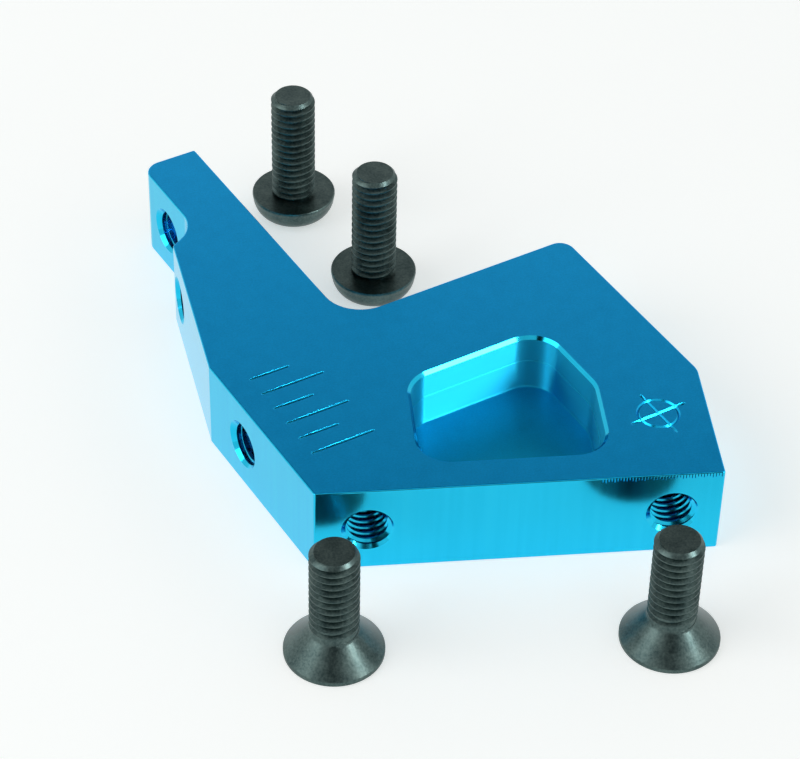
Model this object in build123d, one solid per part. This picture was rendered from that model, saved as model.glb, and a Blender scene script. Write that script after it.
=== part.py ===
from build123d import *
import math
import os

# A flat machined mounting bracket with its four loose machine screws, in millimetres.
# The bracket lies flat on Z = 0. Its front mounting face looks along -Y and runs along X.
# The drawing below starts from the front face's left corner at (0, 0); the finished set is then
# moved so that the origin is the middle of the whole set's footprint, on the surface it stands on.

# ---- Bracket: plate and outline ----
plate_thickness = 6.2
front_width = 24.6
end_face_length = 9.5
arm_lean = 25.0  # degrees that the arm leans from +Y towards -X
block_depth = 13.25  # along the arm, from the front left corner to the shoulder
arm_root_width = 9.75
arm_reach = 33.85  # along the arm, from the front left corner to the tip
neck_width = 6.1
pad_thickness = 4.0
pad_length = 7.55
pad_step_run = 1.1  # along the arm, how far the slanted step below the pad reaches

# ---- Bracket: corner radii and broken edges ----
shoulder_inner_radius = 2.5
shoulder_outer_radius = 1.0
end_corner_radius = 1.4
pad_step_radius = 2.4
tip_radius = 1.2
edge_break = 0.1

# ---- Bracket: lightening pocket in the top face ----
pocket_depth = 4.0
pocket_side_wall = 6.6
pocket_front_wall = 2.4
pocket_shoulder_wall = 7.1
pocket_slope_wall = 6.4
pocket_corner_radius = 2.0
pocket_rim_chamfer = 0.2

# ---- M3 coarse thread, shared by the tapped holes and the screws ----
thread_diameter = 3.0
thread_pitch = 0.5

# ---- Bracket: tapped holes in its edge faces ----
mouth_clearance = 0.2  # how much wider than the thread a hole's countersunk mouth is
front_hole_spacing = 18.4
front_hole_offset = 0.1  # of the pair's middle from the front face's middle, along +X
front_hole_depth = 7.0
side_hole_setback = 4.25  # from the edge where the side face meets the arm's taper
side_hole_depth = 6.5
arm_hole_setback = 1.9  # from the neck's edge, down the tapered face
pad_hole_setback = 3.5  # from the tip
drill_point_angle = 118.0

# ---- Screws: M3 x 8, standing on their heads ----
screw_length = 8.0
tip_chamfer = 0.3
socket_across_flats = 2.0
button_head_diameter = 5.7
button_head_height = 1.65
button_crown_flat = 3.5
button_rim_height = 0.2
button_socket_depth = 1.04
countersunk_head_diameter = 6.0
countersunk_rim_height = 0.3
countersunk_socket_depth = 1.1

# ---- Screws: where they stand, measured from the bracket's faces ----
button_gap_to_arm = 6.55
button_right_setback = 0.45
button_right_from_shoulder = 8.4
button_spacing = 10.2
countersunk_gap_to_front = 6.7
countersunk_right_setback = 0.6
countersunk_left_x = 0.65
countersunk_right_inset = 4.2

tap_drill_radius = (thread_diameter - thread_pitch) / 2
mouth_radius = (thread_diameter + mouth_clearance) / 2
mouth_depth = mouth_radius - tap_drill_radius
lean = math.radians(arm_lean)
arm_direction = Vector(-math.sin(lean), math.cos(lean), 0)
across_direction = Vector(math.cos(lean), math.sin(lean), 0)
mid_height = plate_thickness / 2


def arm_point(along, across):
    """A point measured along the arm and across it, from the front left corner."""
    return arm_direction * along + across_direction * across


def across_of(point):
    return point.dot(across_direction)


def on_shoulder_line(x, along):
    """The point at x on the line that lies square to the arm at this distance along it."""
    return Vector(x, (along + x * math.sin(lean)) / math.cos(lean), 0)


def on_arm_line(x, across):
    """The point at x on the line that runs along the arm at this distance across it."""
    return Vector(x, (across - x * math.cos(lean)) / math.sin(lean), 0)


# Corners of the outline, sharp
front_left = Vector(0, 0, 0)
front_right = Vector(front_width, 0, 0)
end_corner = Vector(front_width, end_face_length, 0)
shoulder_outer = arm_point(block_depth, across_of(end_corner))
shoulder_inner = arm_point(block_depth, arm_root_width)
tip_back = arm_point(arm_reach, arm_root_width)
tip_front = arm_point(arm_reach, arm_root_width - pad_thickness)
pad_foot = arm_point(arm_reach - pad_length, arm_root_width - pad_thickness)
neck = arm_point(arm_reach - pad_length - pad_step_run, arm_root_width - neck_width)
side_corner = arm_point(block_depth, 0)
taper_direction = (side_corner - neck).normalized()


def rounded(face, rounds):
    """Rounds named corners of a flat face, given as (corner, radius)."""
    for corner, radius in rounds:
        vertex = face.vertices().sort_by_distance(corner)[0]
        face = fillet(vertex, radius)
    return face


def bracket_blank():
    outline = Polyline(
        front_left,
        front_right,
        end_corner,
        shoulder_outer,
        shoulder_inner,
        tip_back,
        tip_front,
        pad_foot,
        neck,
        side_corner,
        close=True,
    )
    face = rounded(
        Sketch() + make_face(outline),
        [
            (end_corner, end_corner_radius),
            (shoulder_outer, shoulder_outer_radius),
            (shoulder_inner, shoulder_inner_radius),
            (tip_front, tip_radius),
            (pad_foot, pad_step_radius),
        ],
    )
    blank = extrude(face, plate_thickness)
    flat_edges = blank.faces().sort_by(Axis.Z)[0].edges() + blank.faces().sort_by(Axis.Z)[-1].edges()
    return chamfer(flat_edges, edge_break)


def pocket():
    """The space that the pocket and its chamfered rim take out of the block."""
    left = pocket_side_wall
    right = front_width - pocket_side_wall
    back = block_depth - pocket_shoulder_wall
    slope = across_of(end_corner) - pocket_slope_wall
    corners = [
        Vector(left, pocket_front_wall, 0),
        Vector(right, pocket_front_wall, 0),
        on_arm_line(right, slope),
        arm_point(back, slope),
        on_shoulder_line(left, back),
    ]
    face = Sketch() + make_face(Polyline(*corners, close=True))
    face = rounded(face, [(corner, pocket_corner_radius) for corner in corners])
    floor_height = plate_thickness - pocket_depth
    well = Pos(0, 0, floor_height) * extrude(face, pocket_depth)
    rim_face = Pos(0, 0, plate_thickness - pocket_rim_chamfer) * face
    rim = extrude(rim_face, 2 * pocket_rim_chamfer, taper=-45)
    return well + rim


def turned(profile):
    """A solid turned from half its section, drawn from the axis outwards and back."""
    return revolve(make_face(Plane.XZ * profile), Axis.Z)


def tapped_hole(mouth, inward, depth, blind):
    """A tapping drill's hole with its countersunk mouth, bored from mouth along inward."""
    point_depth = tap_drill_radius / math.tan(math.radians(drill_point_angle / 2)) if blind else 0
    profile = Polyline(
        (0, -mouth_depth),
        (mouth_radius + mouth_depth, -mouth_depth),
        (tap_drill_radius, mouth_depth),
        (tap_drill_radius, depth),
        (0, depth + point_depth),
        close=True,
    )
    cut = turned(profile)
    return Plane(origin=mouth + Vector(0, 0, mid_height), z_dir=inward) * cut


def through_depth(inward, thickness):
    """How far a hole runs to leave through the arm's back face, thickness away."""
    run = thickness / inward.dot(across_direction)
    return run + thread_diameter


def holes():
    inward_front = Vector(0, 1, 0)
    inward_taper = Vector(-taper_direction.Y, taper_direction.X, 0)
    front_middle = front_width / 2 + front_hole_offset
    front_hole_left = Vector(front_middle - front_hole_spacing / 2, 0, 0)
    front_hole_right = Vector(front_middle + front_hole_spacing / 2, 0, 0)
    side_hole = arm_point(block_depth - side_hole_setback, 0)
    arm_hole = neck + taper_direction * arm_hole_setback
    arm_wall = arm_root_width - across_of(arm_hole)
    pad_hole = arm_point(arm_reach - pad_hole_setback, arm_root_width - pad_thickness)
    return [
        tapped_hole(front_hole_left, inward_front, front_hole_depth, True),
        tapped_hole(front_hole_right, inward_front, front_hole_depth, True),
        tapped_hole(side_hole, across_direction, side_hole_depth, True),
        tapped_hole(arm_hole, inward_taper, through_depth(inward_taper, arm_wall), False),
        tapped_hole(pad_hole, across_direction, through_depth(across_direction, pad_thickness), False),
    ]


def bracket():
    body = bracket_blank() - pocket()
    for hole in holes():
        body = body - hole
    return body


def hex_socket(depth):
    across_corners = socket_across_flats / math.cos(math.radians(30))
    return extrude(RegularPolygon(across_corners / 2, 6), depth)


def shank(from_height, to_height):
    radius = thread_diameter / 2
    return Polyline(
        (radius, from_height),
        (radius, to_height - tip_chamfer),
        (radius - tip_chamfer, to_height),
        (0, to_height),
        (0, 0),
    )


def button_screw():
    """A button head screw on its crown; screw_length is the length under its head."""
    head_radius = button_head_diameter / 2
    crown_radius = button_crown_flat / 2
    rim_start = button_head_height - button_rim_height
    crown = EllipticalCenterArc(
        (crown_radius, rim_start),
        head_radius - crown_radius,
        rim_start,
        start_angle=270,
        arc_size=90,
    )
    head = Polyline((0, 0), (crown_radius, 0))
    under_head = Polyline(
        (head_radius, rim_start),
        (head_radius, button_head_height),
        (thread_diameter / 2, button_head_height),
    )
    threaded = shank(button_head_height, button_head_height + screw_length)
    return turned(head + crown + under_head + threaded) - hex_socket(button_socket_depth)


def countersunk_screw():
    """A countersunk screw on its flat head; screw_length is its whole length."""
    head_radius = countersunk_head_diameter / 2
    cone_end = countersunk_rim_height + head_radius - thread_diameter / 2
    head = Polyline(
        (0, 0),
        (head_radius, 0),
        (head_radius, countersunk_rim_height),
        (thread_diameter / 2, cone_end),
    )
    threaded = shank(cone_end, screw_length)
    return turned(head + threaded) - hex_socket(countersunk_socket_depth)


def screw_places():
    button_across = arm_root_width + button_gap_to_arm
    button_right = block_depth + button_right_from_shoulder
    return {
        "button_screw_left": arm_point(button_right + button_spacing, button_across),
        "button_screw_right": arm_point(button_right, button_across + button_right_setback),
        "countersunk_screw_left": Vector(countersunk_left_x, -countersunk_gap_to_front, 0),
        "countersunk_screw_right": Vector(
            front_width - countersunk_right_inset,
            -countersunk_gap_to_front - countersunk_right_setback,
            0,
        ),
    }


def drawn_nodes():
    """Every piece in the drawing's own frame, before the set is centred."""
    screws = {"button": button_screw(), "countersunk": countersunk_screw()}
    nodes = {"bracket": bracket()}
    for name, place in screw_places().items():
        nodes[name] = Pos(place) * screws[name.split("_")[0]]
    return nodes


os.makedirs("parts", exist_ok=True)

drawn = drawn_nodes()
footprint = Compound(children=[node.solid() for node in drawn.values()]).bounding_box()
to_origin = Vector(-footprint.center().X, -footprint.center().Y, -footprint.min.Z)
nodes = {name: Pos(to_origin) * node for name, node in drawn.items()}

for name, node in nodes.items():
    export_step(node.solid(), f"parts/{name}.step")
    print(name, "volume", round(node.solid().volume, 1))
print("origin in the drawing", -to_origin)
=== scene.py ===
import math

import bmesh
import bpy
from mathutils import Matrix, Vector


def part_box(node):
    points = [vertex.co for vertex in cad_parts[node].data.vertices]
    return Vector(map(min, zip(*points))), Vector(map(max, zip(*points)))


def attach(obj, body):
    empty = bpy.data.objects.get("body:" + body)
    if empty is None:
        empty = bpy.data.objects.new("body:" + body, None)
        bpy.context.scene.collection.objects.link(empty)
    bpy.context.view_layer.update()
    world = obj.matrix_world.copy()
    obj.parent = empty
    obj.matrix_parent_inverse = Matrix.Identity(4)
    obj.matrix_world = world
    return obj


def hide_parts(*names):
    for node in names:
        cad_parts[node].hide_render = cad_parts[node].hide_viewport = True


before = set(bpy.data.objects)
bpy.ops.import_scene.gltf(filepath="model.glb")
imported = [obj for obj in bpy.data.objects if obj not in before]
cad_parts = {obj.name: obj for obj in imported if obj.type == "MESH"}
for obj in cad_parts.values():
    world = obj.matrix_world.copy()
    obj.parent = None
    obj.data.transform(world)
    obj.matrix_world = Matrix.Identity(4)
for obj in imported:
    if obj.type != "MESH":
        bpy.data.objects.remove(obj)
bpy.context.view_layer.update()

scene = bpy.context.scene
scene.view_settings.view_transform = "Standard"


# ---------------------------------------------------------------- Camera
# A long lens on a stand, in front of the bracket and a little to its left, looking down on the set.
# It is placed from the front left corner of the bracket's mounting face.
bracket_low, bracket_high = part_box("bracket")
front_width = 24.6
mm = 0.001
front_left = Vector((bracket_high.x - front_width * mm, bracket_low.y, bracket_low.z))

camera_heading = math.radians(6.566)
camera_tilt = math.radians(40.722)
camera_roll = math.radians(1.344)
camera_place = front_left + Vector((-0.00910, -0.12186, 0.12039))
camera_data = bpy.data.cameras.new("camera")
camera_data.sensor_width = 36.0
camera_data.lens = 127.85
camera = bpy.data.objects.new("camera", camera_data)
camera.matrix_world = (
    Matrix.Translation(camera_place)
    @ Matrix.Rotation(-camera_heading, 4, "Z")
    @ Matrix.Rotation(math.pi / 2 - camera_tilt, 4, "X")
    @ Matrix.Rotation(camera_roll, 4, "Z")
)
scene.collection.objects.link(camera)
scene.camera = camera


# ---------------------------------------------------------------- Table and studio light
# A wide white light table, lit a little from below, under a tent that is bright near the horizon and
# dimmer overhead. A large softbox stands at the left, a bright strip box at the front right, and one
# hangs above. The strip is flagged off the table and lights only the bracket and the screws.
def new_material(name):
    material = bpy.data.materials.new(name)
    material.use_nodes = True
    return material, material.node_tree.nodes, material.node_tree.links


def new_object(bm, name):
    """Makes an object of a finished bmesh."""
    mesh = bpy.data.meshes.new(name)
    bm.to_mesh(mesh)
    bm.free()
    piece = bpy.data.objects.new(name, mesh)
    scene.collection.objects.link(piece)
    return piece


def colour_ramp(nodes, links, value, tones):
    """Turns a value into a colour that runs through the tones, each a (place, colour)."""
    ramp = nodes.new("ShaderNodeValToRGB")
    while len(ramp.color_ramp.elements) < len(tones):
        ramp.color_ramp.elements.new(0.5)
    for element, (place, tone) in zip(ramp.color_ramp.elements, tones):
        element.position = place
        element.color = (*tone, 1)
    links.new(value, ramp.inputs["Fac"])
    return ramp.outputs["Color"]


table_half_side = 2.0
table_glow = 0.54
table_tones = [(0.0, (0.69, 0.70, 0.695)), (1.0, (0.71, 0.72, 0.715))]
table_sheet = bmesh.new()
bmesh.ops.create_grid(table_sheet, x_segments=1, y_segments=1, size=table_half_side)
table = new_object(table_sheet, "table")
table_material, nodes, links = new_material("table_acrylic")
table_surface = nodes["Principled BSDF"]
table_surface.inputs["Roughness"].default_value = 0.8
table_surface.inputs["Specular IOR Level"].default_value = 0.2
table_surface.inputs["Emission Color"].default_value = (0.97, 1.0, 0.985, 1)
table_surface.inputs["Emission Strength"].default_value = table_glow
table_mottle = nodes.new("ShaderNodeTexNoise")
table_mottle.inputs["Scale"].default_value = 40.0
table_place = nodes.new("ShaderNodeTexCoord")
links.new(table_place.outputs["Object"], table_mottle.inputs["Vector"])
table_tone = colour_ramp(nodes, links, table_mottle.outputs["Fac"], table_tones)
links.new(table_tone, table_surface.inputs["Base Color"])
table.data.materials.append(table_material)

tent_tones = [(0.0, 0.80), (0.50, 0.80), (0.58, 0.84), (0.66, 0.28), (0.74, 0.02), (1.0, 0.08)]
tent = bpy.data.worlds.new("light_tent")
tent.use_nodes = True
scene.world = tent
nodes, links = tent.node_tree.nodes, tent.node_tree.links
tent_direction = nodes.new("ShaderNodeTexCoord")
tent_height = nodes.new("ShaderNodeSeparateXYZ")
links.new(tent_direction.outputs["Generated"], tent_height.inputs["Vector"])
tent_greys = [(height, (tone, tone, tone)) for height, tone in tent_tones]
tent_colour = colour_ramp(nodes, links, tent_height.outputs["Z"], tent_greys)
links.new(tent_colour, nodes["Background"].inputs["Color"])

# The tent is open in front, high up, so what faces that way mirrors a darker patch
opening_edge = math.radians(30)
opening_core = math.radians(15)
opening_tone = 0.05
bracket_middle = (bracket_low + bracket_high) / 2
nearness = nodes.new("ShaderNodeVectorMath")
nearness.operation = "DOT_PRODUCT"
nearness.inputs[1].default_value = (camera_place - bracket_middle).normalized()
links.new(tent_direction.outputs["Generated"], nearness.inputs[0])
opening = nodes.new("ShaderNodeMapRange")
opening.interpolation_type = "SMOOTHSTEP"
opening.inputs["From Min"].default_value = math.cos(opening_edge)
opening.inputs["From Max"].default_value = math.cos(opening_core)
opening.inputs["To Min"].default_value = 1.0
opening.inputs["To Max"].default_value = opening_tone
links.new(nearness.outputs["Value"], opening.inputs["Value"])
links.new(opening.outputs["Result"], nodes["Background"].inputs["Strength"])


def softbox(name, direction, distance, width, height, power):
    """A soft light of width by height metres, in that direction from the bracket and facing it."""
    light = bpy.data.lights.new(name, "AREA")
    light.shape = "RECTANGLE"
    light.size = width
    light.size_y = height
    light.energy = power
    lamp = bpy.data.objects.new(name, light)
    towards = Vector(direction).normalized()
    lamp.location = bracket_middle + towards * distance
    lamp.rotation_euler = towards.to_track_quat("Z", "Y").to_euler()
    scene.collection.objects.link(lamp)
    return lamp


softbox("overhead_softbox", (0.1, -0.35, 1.0), distance=0.8, width=0.7, height=0.7, power=1.05)
softbox("left_softbox", (-0.80, -0.20, 0.60), distance=0.7, width=0.5, height=0.5, power=1.5)
strip = softbox("strip_softbox", (0.64, -0.42, 0.50), distance=0.6, width=0.09, height=0.32, power=1.7)
strip_lit = bpy.data.collections.new("strip_lit")
strip.light_linking.receiver_collection = strip_lit


# ---------------------------------------------------------------- Bracket blank
# A 6.2 mm aluminium plate, sawn and milled to a dog-leg outline, with its upright corners rounded by the
# cutter and every long edge broken by hand. All of the bracket is drawn in millimetres from its front
# left corner and set in its place when it is finished.
plate_thickness = 6.2
end_face_length = 9.5
arm_lean = math.radians(25.0)
block_depth = 13.25
arm_root_width = 9.75
arm_reach = 33.85
neck_width = 6.1
pad_thickness = 4.0
pad_length = 7.55
pad_step_run = 1.1
tight_corner = 0.15
broken_corner = 0.3
end_corner_radius = 1.4
shoulder_corner_radius = 1.0
arm_root_fillet = 2.5
pad_end_radius = 1.2
pad_step_fillet = 2.4
edge_break = 0.1
touching = 1e-4

arm_direction = Vector((-math.sin(arm_lean), math.cos(arm_lean), 0))
across_direction = Vector((math.cos(arm_lean), math.sin(arm_lean), 0))


def arm_point(along, across):
    return arm_direction * along + across_direction * across


def upright_edge(bm, corner):
    for edge in bm.edges:
        foot, head = edge.verts
        if all((Vector((v.co.x, v.co.y, 0)) - corner).length < touching for v in (foot, head)):
            return edge


def level_edges(bm, height):
    return [e for e in bm.edges if all(abs(v.co.z - height) < touching for v in e.verts)]


def soften(bm, edges, width, segments):
    """Bevels the edges: one segment cuts them flat, and more round them."""
    bmesh.ops.bevel(
        bm,
        geom=edges,
        offset=width,
        offset_type="OFFSET",
        affect="EDGES",
        segments=segments,
        profile=0.5,
        material=-1,
    )


def prism(corners, bottom, top, segments=10):
    """An upright prism. Each corner is (point, radius), and its upright edge gets that radius."""
    bm = bmesh.new()
    verts = [bm.verts.new((point.x, point.y, bottom)) for point, radius in corners]
    face = bm.faces.new(verts)
    raised = bmesh.ops.extrude_face_region(bm, geom=[face])["geom"]
    raised_verts = [v for v in raised if isinstance(v, bmesh.types.BMVert)]
    bmesh.ops.translate(bm, vec=(0, 0, top - bottom), verts=raised_verts)
    for n, (point, radius) in enumerate(corners):
        if not radius:
            continue
        back = corners[n - 1][0] - point
        ahead = corners[(n + 1) % len(corners)][0] - point
        soften(bm, [upright_edge(bm, point)], radius / math.tan(back.angle(ahead) / 2), segments)
    bmesh.ops.recalc_face_normals(bm, faces=bm.faces)
    return bm


def as_object(bm, name):
    """Makes an object of a closed shape, with its faces turned outwards."""
    bmesh.ops.recalc_face_normals(bm, faces=bm.faces)
    return new_object(bm, name)


end_corner = Vector((front_width, end_face_length, 0))
far_side = end_corner.dot(across_direction)
pad_across = arm_root_width - pad_thickness
pad_root = arm_reach - pad_length
neck = arm_point(pad_root - pad_step_run, arm_root_width - neck_width)
outline = [
    (Vector((0, 0, 0)), tight_corner),
    (Vector((front_width, 0, 0)), tight_corner),
    (end_corner, end_corner_radius),
    (arm_point(block_depth, far_side), shoulder_corner_radius),
    (arm_point(block_depth, arm_root_width), arm_root_fillet),
    (arm_point(arm_reach, arm_root_width), tight_corner),
    (arm_point(arm_reach, pad_across), pad_end_radius),
    (arm_point(pad_root, pad_across), pad_step_fillet),
    (neck, broken_corner),
    (arm_point(block_depth, 0), broken_corner),
]
blank = prism(outline, 0, plate_thickness)
soften(blank, level_edges(blank, 0) + level_edges(blank, plate_thickness), edge_break, segments=3)
bracket = as_object(blank, "bracket_milled")


# ---------------------------------------------------------------- Bracket lightening pocket
# A blind pocket, milled 4 mm deep into the top of the block by a 4 mm cutter in two passes. The second
# pass runs a hair inside the first and leaves a fine ledge half way down the wall. The rim is chamfered.
pocket_floor = 2.2
pocket_first_pass = 4.25
pocket_side_wall = 6.6
pocket_front_wall = 2.4
pocket_shoulder_wall = 7.1
pocket_slope_wall = 6.4
pocket_corner_radius = 2.0
pocket_rim_chamfer = 0.2
pass_ledge = 0.04
first_pass_nose = 0.06
floor_nose = 0.15


def pocket_corners(ledge):
    """The pocket's five corners, drawn in by the ledge all round."""
    left = pocket_side_wall + ledge
    right = front_width - pocket_side_wall - ledge
    front = pocket_front_wall + ledge
    back = block_depth - pocket_shoulder_wall - ledge
    slope = far_side - pocket_slope_wall - ledge
    sine, cosine = math.sin(arm_lean), math.cos(arm_lean)
    return [
        Vector((left, front, 0)),
        Vector((right, front, 0)),
        Vector((right, (slope - right * cosine) / sine, 0)),
        arm_point(back, slope),
        Vector((left, (back + left * sine) / cosine, 0)),
    ]


def combine(piece, tool, operation):
    """Cuts tool out of piece, or joins it on, and clears the tool away."""
    modifier = piece.modifiers.new("combine", "BOOLEAN")
    modifier.operation = operation
    modifier.solver = "EXACT"
    modifier.object = tool
    depsgraph = bpy.context.evaluated_depsgraph_get()
    result = bpy.data.meshes.new_from_object(piece.evaluated_get(depsgraph))
    piece.modifiers.clear()
    bm = bmesh.new()
    bm.from_mesh(result)
    bmesh.ops.remove_doubles(bm, verts=bm.verts, dist=touching)
    bmesh.ops.dissolve_degenerate(bm, edges=bm.edges, dist=touching / 10)
    bm.to_mesh(result)
    bm.free()
    piece.data = result
    bpy.data.objects.remove(tool)


passes = [(pocket_first_pass, 0.0, first_pass_nose, 1), (pocket_floor, pass_ledge, floor_nose, 3)]
for floor, ledge, nose, nose_segments in passes:
    corners = [(corner, pocket_corner_radius - ledge) for corner in pocket_corners(ledge)]
    well = prism(corners, floor, plate_thickness + 1, segments=14)
    soften(well, level_edges(well, floor), nose, nose_segments)
    combine(bracket, as_object(well, "pocket_cutter"), "DIFFERENCE")


def on_rim(edge):
    """True for a top edge of the pocket's wall, and not for one of the bracket's outline."""
    upright = any(abs(face.normal.z) < 0.1 for face in edge.link_faces)
    return upright and all(
        pocket_side_wall - 1 < v.co.x < front_width - pocket_side_wall + 1
        and v.co.dot(arm_direction) < block_depth - 1
        and v.co.y > 1
        for v in edge.verts
    )


pocketed = bmesh.new()
pocketed.from_mesh(bracket.data)
rim = [edge for edge in level_edges(pocketed, plate_thickness) if on_rim(edge)]
soften(pocketed, rim, pocket_rim_chamfer, segments=1)
pocketed.to_mesh(bracket.data)
pocketed.free()


# ---------------------------------------------------------------- Bracket tapped holes
# Five M3 holes in the edge faces, drilled 2.5 mm, countersunk at the mouth and tapped 0.5 mm pitch. The
# tap cuts a real helix, so its turns show in the mouths. Three are blind and two go through the arm.
thread_pitch = 0.5
thread_radius = 1.5
tap_drill_radius = 1.25
mouth_radius = 1.6
hole_clearance = 0.03
tap_steps = 32
front_hole_depth = 7.0
front_hole_reach = 9.2
front_hole_offset = 0.1
side_hole_depth = 6.5
side_hole_setback = 4.25
taper_hole_setback = 1.9
pad_hole_setback = 3.5
plain_end = 1.0
drill_radius = 1.2
drill_length = 1.6
drill_point = 0.72


def threaded_rod(bottom, top, crest_radius, root_radius, steps):
    """A closed rod along +Z with a right-hand V thread, cut square at bottom and top."""
    bm = bmesh.new()
    profile = [
        (root_radius, 1 / 8),
        (crest_radius, 7 / 16),
        (crest_radius, 9 / 16),
        (root_radius, 7 / 8),
    ]
    chain = []
    for turn in range(-2, math.ceil((top - bottom) / thread_pitch) + 2):
        for radius, share in profile:
            chain.append(bm.verts.new((radius, 0, bottom + (turn + share) * thread_pitch)))
    line = [bm.edges.new(pair) for pair in zip(chain, chain[1:])]
    bmesh.ops.spin(
        bm,
        geom=chain + line,
        cent=(0, 0, 0),
        axis=(0, 0, 1),
        dvec=(0, 0, thread_pitch / steps),
        angle=2 * math.pi,
        steps=steps,
        use_merge=False,
    )
    bmesh.ops.remove_doubles(bm, verts=bm.verts, dist=touching)
    for height, side in ((bottom, -1), (top, 1)):
        everything = list(bm.verts) + list(bm.edges) + list(bm.faces)
        cut = bmesh.ops.bisect_plane(
            bm,
            geom=everything,
            plane_co=(0, 0, height),
            plane_no=(0, 0, side),
            clear_outer=True,
        )
        rim_edges = [e for e in cut["geom_cut"] if isinstance(e, bmesh.types.BMEdge)]
        bmesh.ops.holes_fill(bm, edges=rim_edges, sides=0)
    bmesh.ops.recalc_face_normals(bm, faces=bm.faces)
    return bm


def turned(profile, steps):
    """A solid of revolution about Z from (radius, height) points that start and end on the axis."""
    bm = bmesh.new()
    points = [bm.verts.new((radius, 0, height)) for radius, height in profile]
    line = [bm.edges.new(pair) for pair in zip(points, points[1:])]
    bmesh.ops.spin(
        bm,
        geom=points + line,
        cent=(0, 0, 0),
        axis=(0, 0, 1),
        angle=2 * math.pi,
        steps=steps,
        use_merge=True,
    )
    bmesh.ops.remove_doubles(bm, verts=bm.verts, dist=touching / 10)
    bmesh.ops.recalc_face_normals(bm, faces=bm.faces)
    return bm


def along_hole(bm, mouth, inward):
    """Turns a tool that points up +Z to lie along a hole, with z = 0 at the hole's mouth."""
    middle = Vector((mouth.x, mouth.y, plate_thickness / 2))
    turn = inward.to_track_quat("Z", "Y").to_matrix().to_4x4()
    bmesh.ops.transform(bm, matrix=Matrix.Translation(middle) @ turn, verts=bm.verts)
    return bm


taper = (arm_point(block_depth, 0) - neck).normalized()
taper_inward = Vector((-taper.y, taper.x, 0))
taper_mouth = neck + taper * taper_hole_setback
taper_wall = (arm_root_width - taper_mouth.dot(across_direction)) / taper_inward.dot(across_direction)
front_inward = Vector((0, 1, 0))
front_middle = front_width / 2 + front_hole_offset
side_mouth = arm_point(block_depth - side_hole_setback, 0)
pad_mouth = arm_point(arm_reach - pad_hole_setback, pad_across)
holes = [
    (Vector((front_middle - front_hole_reach, 0, 0)), front_inward, front_hole_depth, True),
    (Vector((front_middle + front_hole_reach, 0, 0)), front_inward, front_hole_depth, True),
    (side_mouth, across_direction, side_hole_depth, True),
    (taper_mouth, taper_inward, taper_wall, False),
    (pad_mouth, across_direction, pad_thickness, False),
]
flare = mouth_radius - tap_drill_radius
countersink_profile = [
    (0, -0.5),
    (mouth_radius + 0.5, -0.5),
    (tap_drill_radius - 0.1, flare + 0.1),
    (0, flare + 0.1),
]
for mouth, inward, depth, blind in holes:
    thread_end = depth - plain_end if blind else depth + 1.5
    tap = threaded_rod(-0.8, thread_end, thread_radius + hole_clearance, tap_drill_radius, tap_steps)
    combine(bracket, as_object(along_hole(tap, mouth, inward), "tap"), "DIFFERENCE")
    countersink = turned(countersink_profile, 48)
    combine(bracket, as_object(along_hole(countersink, mouth, inward), "countersink"), "DIFFERENCE")
    if blind:
        shoulder = depth - drill_length
        drill_tip = [(drill_radius, depth), (0, depth + drill_point)]
        drill = turned([(0, shoulder), (drill_radius, shoulder)] + drill_tip, 32)
        combine(bracket, as_object(along_hole(drill, mouth, inward), "drill"), "DIFFERENCE")


# ---------------------------------------------------------------- Bracket setting marks
# Plain workshop setting marks, cut into the top with a 90 degree engraving cutter before anodising: a
# short row of graduations along the arm's root, and a ring with a cross near the right end.
engraving_width = 0.20
engraving_depth = 0.092
engraving_overshoot = 0.1
graduation_count = 6
graduation_foot = 3.2
graduation_start = 1.7
graduation_pitch = 1.55
long_graduation = 4.2
short_graduation = 2.6
ring_centre = Vector((21.45, 5.55, 0))
ring_radius = 1.25
cross_reach = 1.9


def engraved_line(start, end):
    """A V-groove cutter from start to end: the hull of a cone at each end."""
    bm = bmesh.new()
    cutter_height = engraving_depth + engraving_overshoot
    top_radius = engraving_width / 2 * cutter_height / engraving_depth
    for point in (start, end):
        cone = bmesh.ops.create_cone(
            bm,
            cap_ends=False,
            segments=12,
            radius1=0,
            radius2=top_radius,
            depth=cutter_height,
        )
        height = plate_thickness + (engraving_overshoot - engraving_depth) / 2
        bmesh.ops.translate(bm, vec=(point.x, point.y, height), verts=cone["verts"])
    bmesh.ops.delete(bm, geom=list(bm.edges), context="EDGES_FACES")
    bmesh.ops.remove_doubles(bm, verts=bm.verts, dist=touching)
    hull = bmesh.ops.convex_hull(bm, input=bm.verts)
    spare = [v for v in hull["geom_interior"] if isinstance(v, bmesh.types.BMVert)]
    bmesh.ops.delete(bm, geom=spare, context="VERTS")
    return as_object(bm, "engraved_line")


def engraved_ring(centre, radius):
    """A V-groove cutter that runs round a circle."""
    bm = bmesh.new()
    rise = engraving_depth * 0.8
    reach = engraving_width / 2 * (engraving_depth + rise) / engraving_depth
    section = [
        bm.verts.new((radius - reach, 0, rise)),
        bm.verts.new((radius, 0, -engraving_depth)),
        bm.verts.new((radius + reach, 0, rise)),
    ]
    face = bm.faces.new(section)
    bmesh.ops.spin(
        bm,
        geom=[face] + list(face.edges) + section,
        cent=(0, 0, 0),
        axis=(0, 0, 1),
        angle=2 * math.pi,
        steps=48,
        use_merge=True,
    )
    bmesh.ops.delete(bm, geom=[f for f in bm.faces if len(f.verts) == 3], context="FACES_ONLY")
    bmesh.ops.remove_doubles(bm, verts=bm.verts, dist=touching)
    bmesh.ops.translate(bm, vec=(centre.x, centre.y, plate_thickness), verts=bm.verts)
    return as_object(bm, "engraved_ring")


for mark in range(graduation_count):
    along = graduation_foot + graduation_pitch * mark
    length = long_graduation if mark % 2 == 0 else short_graduation
    line = engraved_line(arm_point(along, graduation_start), arm_point(along, graduation_start + length))
    combine(bracket, line, "DIFFERENCE")

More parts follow.
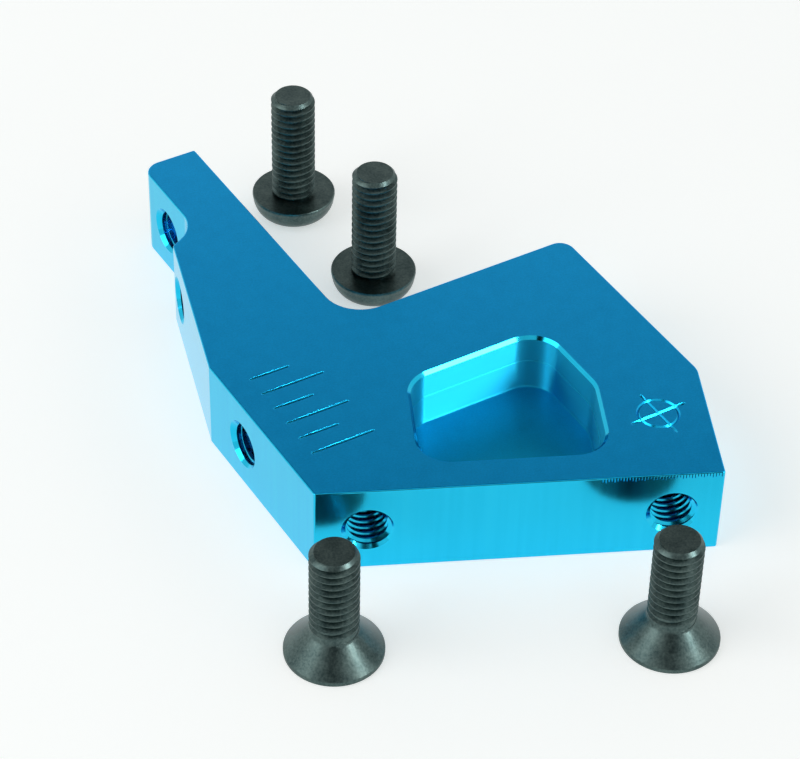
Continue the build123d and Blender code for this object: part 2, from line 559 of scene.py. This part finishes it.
combine(bracket, engraved_ring(ring_centre, ring_radius), "DIFFERENCE")
for direction in (across_direction, arm_direction):
    line = engraved_line(ring_centre - direction * cross_reach, ring_centre + direction * cross_reach)
    combine(bracket, line, "DIFFERENCE")


# ---------------------------------------------------------------- Bracket chatter marks
# Where the cutter chattered on its way off the front face, it nicked the top edge at an even spacing
# toward the right end. Each nick is a hair-fine upright groove.
nick_pitch = 0.18
nick_side = 0.05
first_nick = 17.2
nick_count = 41
mean_nick_length = 0.42
nicks = bmesh.new()
for nick in range(nick_count):
    length = mean_nick_length + 0.12 * math.sin(nick * 1.9) + 0.06 * math.sin(nick * 0.7)
    middle = Vector((first_nick + nick_pitch * nick, 0, plate_thickness - edge_break))
    shape_of_nick = (
        Matrix.Translation(middle)
        @ Matrix.Rotation(math.radians(45), 4, "Z")
        @ Matrix.Diagonal((nick_side, nick_side, length, 1))
    )
    bmesh.ops.create_cube(nicks, size=1.0, matrix=shape_of_nick)
combine(bracket, as_object(nicks, "nicks"), "DIFFERENCE")


# ---------------------------------------------------------------- Bracket finish
# The milled aluminium is blasted lightly on its flat faces, brightened on its edges, and anodised a
# clear blue that keeps the metal's own gloss.
def finished(piece, place, smooth_angle):
    """Sets a piece drawn in millimetres in its place, cleans its mesh and evens its shading."""
    bm = bmesh.new()
    bm.from_mesh(piece.data)
    bmesh.ops.remove_doubles(bm, verts=bm.verts, dist=2e-5)
    bmesh.ops.dissolve_degenerate(bm, edges=bm.edges, dist=1e-5)
    bmesh.ops.scale(bm, vec=(mm, mm, mm), verts=bm.verts)
    bmesh.ops.translate(bm, vec=place, verts=bm.verts)
    bmesh.ops.recalc_face_normals(bm, faces=bm.faces)
    for face in bm.faces:
        face.smooth = True
    bm.to_mesh(piece.data)
    bm.free()
    piece.data.set_sharp_from_angle(angle=math.radians(smooth_angle))
    even = piece.modifiers.new("even_normals", "WEIGHTED_NORMAL")
    even.keep_sharp = True
    return piece


finished(bracket, front_left, smooth_angle=32)


def engraved(point):
    """True for a point in the groove of a setting mark."""
    point = (point - front_left) / mm
    flat = Vector((point.x, point.y, 0))
    last_graduation = graduation_foot + graduation_pitch * (graduation_count - 1)
    on_graduations = (
        graduation_start - 0.3 < flat.dot(across_direction) < graduation_start + long_graduation + 0.4
        and graduation_foot - 0.2 < flat.dot(arm_direction) < last_graduation + 0.2
        and flat.x < pocket_side_wall - 0.3
    )
    on_ring = (flat - ring_centre).length < cross_reach + 0.3
    return point.z > plate_thickness - engraving_depth - 0.05 and (on_graduations or on_ring)


# How much of the cutter's gloss a face has: none on the flats, half in the marks, all on the walls
level_face = 0.95
milled = bracket.data.attributes.new("milled", "FLOAT", "FACE")
for face in bracket.data.polygons:
    if abs(face.normal.z) > level_face:
        milled.data[face.index].value = 0.0
    else:
        milled.data[face.index].value = 0.5 if engraved(face.center) else 1.0


def group_node(group, nodes, **values):
    """Places a node group in a material and sets its named inputs."""
    node = nodes.new("ShaderNodeGroup")
    node.node_tree = group
    for name, value in values.items():
        node.inputs[name].default_value = value
    return node


def new_group(name, inputs, output):
    """Starts a shader node group with value inputs and one value output."""
    group = bpy.data.node_groups.new(name, "ShaderNodeTree")
    for title, default in inputs.items():
        socket = group.interface.new_socket(title, in_out="INPUT", socket_type="NodeSocketFloat")
        socket.default_value = default
    group.interface.new_socket(output, in_out="OUTPUT", socket_type="NodeSocketFloat")
    inside = group.nodes.new("NodeGroupInput")
    outside = group.nodes.new("NodeGroupOutput")
    return group, group.nodes, group.links, inside, outside


def math_node(nodes, links, operation, first, second):
    """Places a Math node between a value's socket and a number or another socket."""
    node = nodes.new("ShaderNodeMath")
    node.operation = operation
    for socket, value in zip(node.inputs, (first, second)):
        if isinstance(value, (int, float)):
            socket.default_value = value
        else:
            links.new(value, socket)
    return node.outputs[0]


# Fine metal grain: a blasted or blackened surface, as a value that swings about one half
fine_grain, nodes, links, inside, outside = new_group(
    "fine_grain", {"Grains Per Metre": 9000.0, "Coarse Share": 0.3}, "Grain"
)
grain_place = nodes.new("ShaderNodeTexCoord")
small_grain = nodes.new("ShaderNodeTexNoise")
small_grain.inputs["Detail"].default_value = 3.0
large_grain = nodes.new("ShaderNodeTexNoise")
large_grain.inputs["Detail"].default_value = 2.0
for grain in (small_grain, large_grain):
    links.new(grain_place.outputs["Object"], grain.inputs["Vector"])
links.new(inside.outputs["Grains Per Metre"], small_grain.inputs["Scale"])
links.new(
    math_node(nodes, links, "MULTIPLY", inside.outputs["Grains Per Metre"], 0.12),
    large_grain.inputs["Scale"],
)
grain_mix = nodes.new("ShaderNodeMix")
links.new(inside.outputs["Coarse Share"], grain_mix.inputs["Factor"])
links.new(small_grain.outputs["Fac"], grain_mix.inputs["A"])
links.new(large_grain.outputs["Fac"], grain_mix.inputs["B"])
links.new(grain_mix.outputs["Result"], outside.inputs["Grain"])

# Streaks left by the end mill: drawn out up a wall at a small upright scale, packed level at a large one
cutter_streaks, nodes, links, inside, outside = new_group(
    "cutter_streaks", {"Streaks Per Metre": 2600.0, "Upright Scale": 1.0}, "Streak"
)
streak_place = nodes.new("ShaderNodeTexCoord")
streak_scale = nodes.new("ShaderNodeCombineXYZ")
streak_scale.inputs["X"].default_value = 1.0
streak_scale.inputs["Y"].default_value = 1.0
streak_stretch = nodes.new("ShaderNodeMapping")
streak = nodes.new("ShaderNodeTexNoise")
streak.inputs["Detail"].default_value = 4.0
links.new(inside.outputs["Streaks Per Metre"], streak.inputs["Scale"])
links.new(inside.outputs["Upright Scale"], streak_scale.inputs["Z"])
links.new(streak_scale.outputs["Vector"], streak_stretch.inputs["Scale"])
links.new(streak_place.outputs["Object"], streak_stretch.inputs["Vector"])
links.new(streak_stretch.outputs["Vector"], streak.inputs["Vector"])
links.new(streak.outputs["Fac"], outside.inputs["Streak"])


milled_tones = [(0.30, (0.017, 0.550, 0.84)), (0.70, (0.021, 0.580, 0.87))]
roughness_swing = 0.08


def anodised_metal(name, satin_tones, flat_roughness, wall_roughness, upright_scale, groove_spread):
    """Blue anodised aluminium: satin grain on the flats, cutter streaks on the walls.

    A groove_spread of 1 stretches the gloss up and down a wall, across level cutter streaks.
    """
    material, nodes, links = new_material(name)
    surface = nodes["Principled BSDF"]
    surface.inputs["Metallic"].default_value = 1.0
    surface.inputs["Anisotropic"].default_value = groove_spread
    if groove_spread:
        upright = nodes.new("ShaderNodeCombineXYZ")
        upright.inputs["Z"].default_value = 1.0
        links.new(upright.outputs["Vector"], surface.inputs["Tangent"])

    cut = nodes.new("ShaderNodeAttribute")
    cut.attribute_name = "milled"
    grain = group_node(fine_grain, nodes)
    streaks = group_node(cutter_streaks, nodes, **{"Upright Scale": upright_scale})
    texture = nodes.new("ShaderNodeMix")
    links.new(cut.outputs["Fac"], texture.inputs["Factor"])
    links.new(grain.outputs["Grain"], texture.inputs["A"])
    links.new(streaks.outputs["Streak"], texture.inputs["B"])

    satin_tone = colour_ramp(nodes, links, grain.outputs["Grain"], satin_tones)
    milled_tone = colour_ramp(nodes, links, streaks.outputs["Streak"], milled_tones)
    tone = nodes.new("ShaderNodeMix")
    tone.data_type = "RGBA"
    links.new(cut.outputs["Fac"], tone.inputs["Factor"])
    links.new(satin_tone, tone.inputs["A"])
    links.new(milled_tone, tone.inputs["B"])
    links.new(tone.outputs["Result"], surface.inputs["Base Color"])

    gloss = nodes.new("ShaderNodeMapRange")
    links.new(cut.outputs["Fac"], gloss.inputs["Value"])
    gloss.inputs["To Min"].default_value = flat_roughness
    gloss.inputs["To Max"].default_value = wall_roughness
    swing = math_node(nodes, links, "SUBTRACT", texture.outputs["Result"], 0.5)
    swing = math_node(nodes, links, "MULTIPLY", swing, roughness_swing)
    links.new(math_node(nodes, links, "ADD", gloss.outputs["Result"], swing), surface.inputs["Roughness"])

    relief = nodes.new("ShaderNodeBump")
    relief.inputs["Strength"].default_value = 0.25
    relief.inputs["Distance"].default_value = 0.000006
    links.new(texture.outputs["Result"], relief.inputs["Height"])
    links.new(relief.outputs["Normal"], surface.inputs["Normal"])
    return material


def in_pocket(point):
    """True for a point on the pocket's floor or walls, below its rim."""
    point = (point - front_left) / mm
    return (
        pocket_side_wall - 0.5 < point.x < front_width - pocket_side_wall + 0.5
        and pocket_front_wall - 0.5 < point.y
        and point.dot(arm_direction) < block_depth - pocket_shoulder_wall + 0.5
        and point.dot(across_direction) < far_side - pocket_slope_wall + 0.5
        and pocket_floor - 0.1 < point.z < plate_thickness - pocket_rim_chamfer - 0.02
    )


top_tones = [(0.30, (0.001, 0.385, 0.84)), (0.70, (0.004, 0.475, 0.98))]
# The pocket floor's tones are a darker, less blue copy of the top's: shade painted into the floor of the
# recess.
pocket_floor_painted_shade_tones = [(0.30, (0.005, 0.40, 0.64)), (0.70, (0.009, 0.49, 0.75))]
outer_metal = anodised_metal(
    "blue_anodised_aluminium",
    top_tones,
    flat_roughness=0.34,
    wall_roughness=0.13,
    upright_scale=0.03,
    groove_spread=0.0,
)
pocket_wall_metal = anodised_metal(
    "blue_anodised_pocket_wall",
    top_tones,
    flat_roughness=0.48,
    wall_roughness=0.48,
    upright_scale=60.0,
    groove_spread=1.0,
)
# The pocket floor's metal carries that painted shade in its colour; its higher roughness is its own.
pocket_floor_metal_painted_shade = anodised_metal(
    "blue_anodised_pocket_floor",
    pocket_floor_painted_shade_tones,
    flat_roughness=0.58,
    wall_roughness=0.58,
    upright_scale=1.0,
    groove_spread=0.0,
)
bracket.data.materials.clear()
for metal in (outer_metal, pocket_wall_metal, pocket_floor_metal_painted_shade):
    bracket.data.materials.append(metal)
for face in bracket.data.polygons:
    if in_pocket(face.center):
        face.material_index = 2 if abs(face.normal.z) > level_face else 1
strip_lit.objects.link(bracket)
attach(bracket, "bracket")
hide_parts("bracket")


# ---------------------------------------------------------------- Socket screws
# Four M3 x 8 socket screws of blackened alloy steel, cold headed with a rolled thread: two button heads
# and two countersunk heads. They stand on their heads, so a screw is drawn from its head upwards.
screw_steps = 48
head_steps = 72
socket_radius = 1.0 / math.cos(math.radians(30))
tip_radius = 1.2
screw_root_radius = 1.2
screw_clearance = 0.01


def shank(start, end):
    """A threaded shank with a chamfered tip, from start to end up the screw."""
    crest_radius = thread_radius - screw_clearance
    rod = as_object(threaded_rod(start - 0.3, end + 0.5, crest_radius, screw_root_radius, screw_steps), "rod")
    chamfer = thread_radius - tip_radius
    envelope = turned(
        [
            (0, start - 0.2),
            (thread_radius + 0.2, start - 0.2),
            (thread_radius + 0.2, end - chamfer - 0.2),
            (tip_radius, end),
            (0, end),
        ],
        screw_steps,
    )
    combine(rod, as_object(envelope, "envelope"), "INTERSECT")
    return rod


def socket(depth):
    """A 2 mm hex socket, sunk into the head from below."""
    corners = []
    for corner in range(6):
        angle = math.radians(60 * corner)
        corners.append((Vector((math.cos(angle), math.sin(angle), 0)) * socket_radius, 0))
    return as_object(prism(corners, -0.5, depth), "socket")


def button_head():
    """A domed head, flat on its crown, with a thin flange under the shank."""
    crown_radius, dome_width, dome_height = 1.7, 1.12, 1.4
    profile = [(0, 0), (crown_radius, 0)]
    for step in range(1, 11):
        angle = math.radians(9 * step)
        profile.append((crown_radius + dome_width * math.sin(angle), dome_height * (1 - math.cos(angle))))
    profile += [(2.85, 1.45), (2.85, 1.58), (2.8, 1.65), (1.5, 1.65), (1.3, 1.66), (0, 1.66)]
    return turned(profile, head_steps)


def countersunk_head():
    """A 90 degree cone on a thin rim, with a fillet that runs out into the shank."""
    rim_profile = [(0, 0), (2.95, 0), (3.0, 0.05), (3.0, 0.27), (2.97, 0.33)]
    cone_profile = [(1.56, 1.74), (1.46, 1.9), (1.18, 2.7), (0, 2.7)]
    return turned(rim_profile + cone_profile, head_steps)


oxide_tones = [(0.34, (0.047, 0.078, 0.078)), (0.68, (0.120, 0.172, 0.162))]
smoothest_oxide = 0.20
grain_roughness = 0.30
blackened, nodes, links = new_material("black_oxide_steel")
surface = nodes["Principled BSDF"]
surface.inputs["Metallic"].default_value = 1.0
grain = group_node(fine_grain, nodes, **{"Grains Per Metre": 7000.0, "Coarse Share": 0.45})
oxide_tone = colour_ramp(nodes, links, grain.outputs["Grain"], oxide_tones)
links.new(oxide_tone, surface.inputs["Base Color"])
rubbed = math_node(nodes, links, "MULTIPLY", grain.outputs["Grain"], grain_roughness)
rubbed = math_node(nodes, links, "ADD", rubbed, smoothest_oxide)
links.new(rubbed, surface.inputs["Roughness"])
relief = nodes.new("ShaderNodeBump")
relief.inputs["Strength"].default_value = 0.5
relief.inputs["Distance"].default_value = 0.000010
links.new(grain.outputs["Grain"], relief.inputs["Height"])
links.new(relief.outputs["Normal"], surface.inputs["Normal"])

# Each kind's head, where its shank starts and ends up the screw, and its socket's depth
kinds = {
    "button": (button_head, 1.65, 9.65, 1.04),
    "countersunk": (countersunk_head, 1.5, 8.0, 1.1),
}
for kind, (head, shank_start, shank_end, socket_depth) in kinds.items():
    for side in ("left", "right"):
        node = f"{kind}_screw_{side}"
        low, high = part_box(node)
        screw = as_object(head(), f"{node}_threaded")
        combine(screw, shank(shank_start, shank_end), "UNION")
        combine(screw, socket(socket_depth), "DIFFERENCE")
        foot = Vector(((low.x + high.x) / 2, (low.y + high.y) / 2, low.z))
        finished(screw, foot, smooth_angle=40)
        screw.data.materials.clear()
        screw.data.materials.append(blackened)
        strip_lit.objects.link(screw)
        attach(screw, node)
        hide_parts(node)
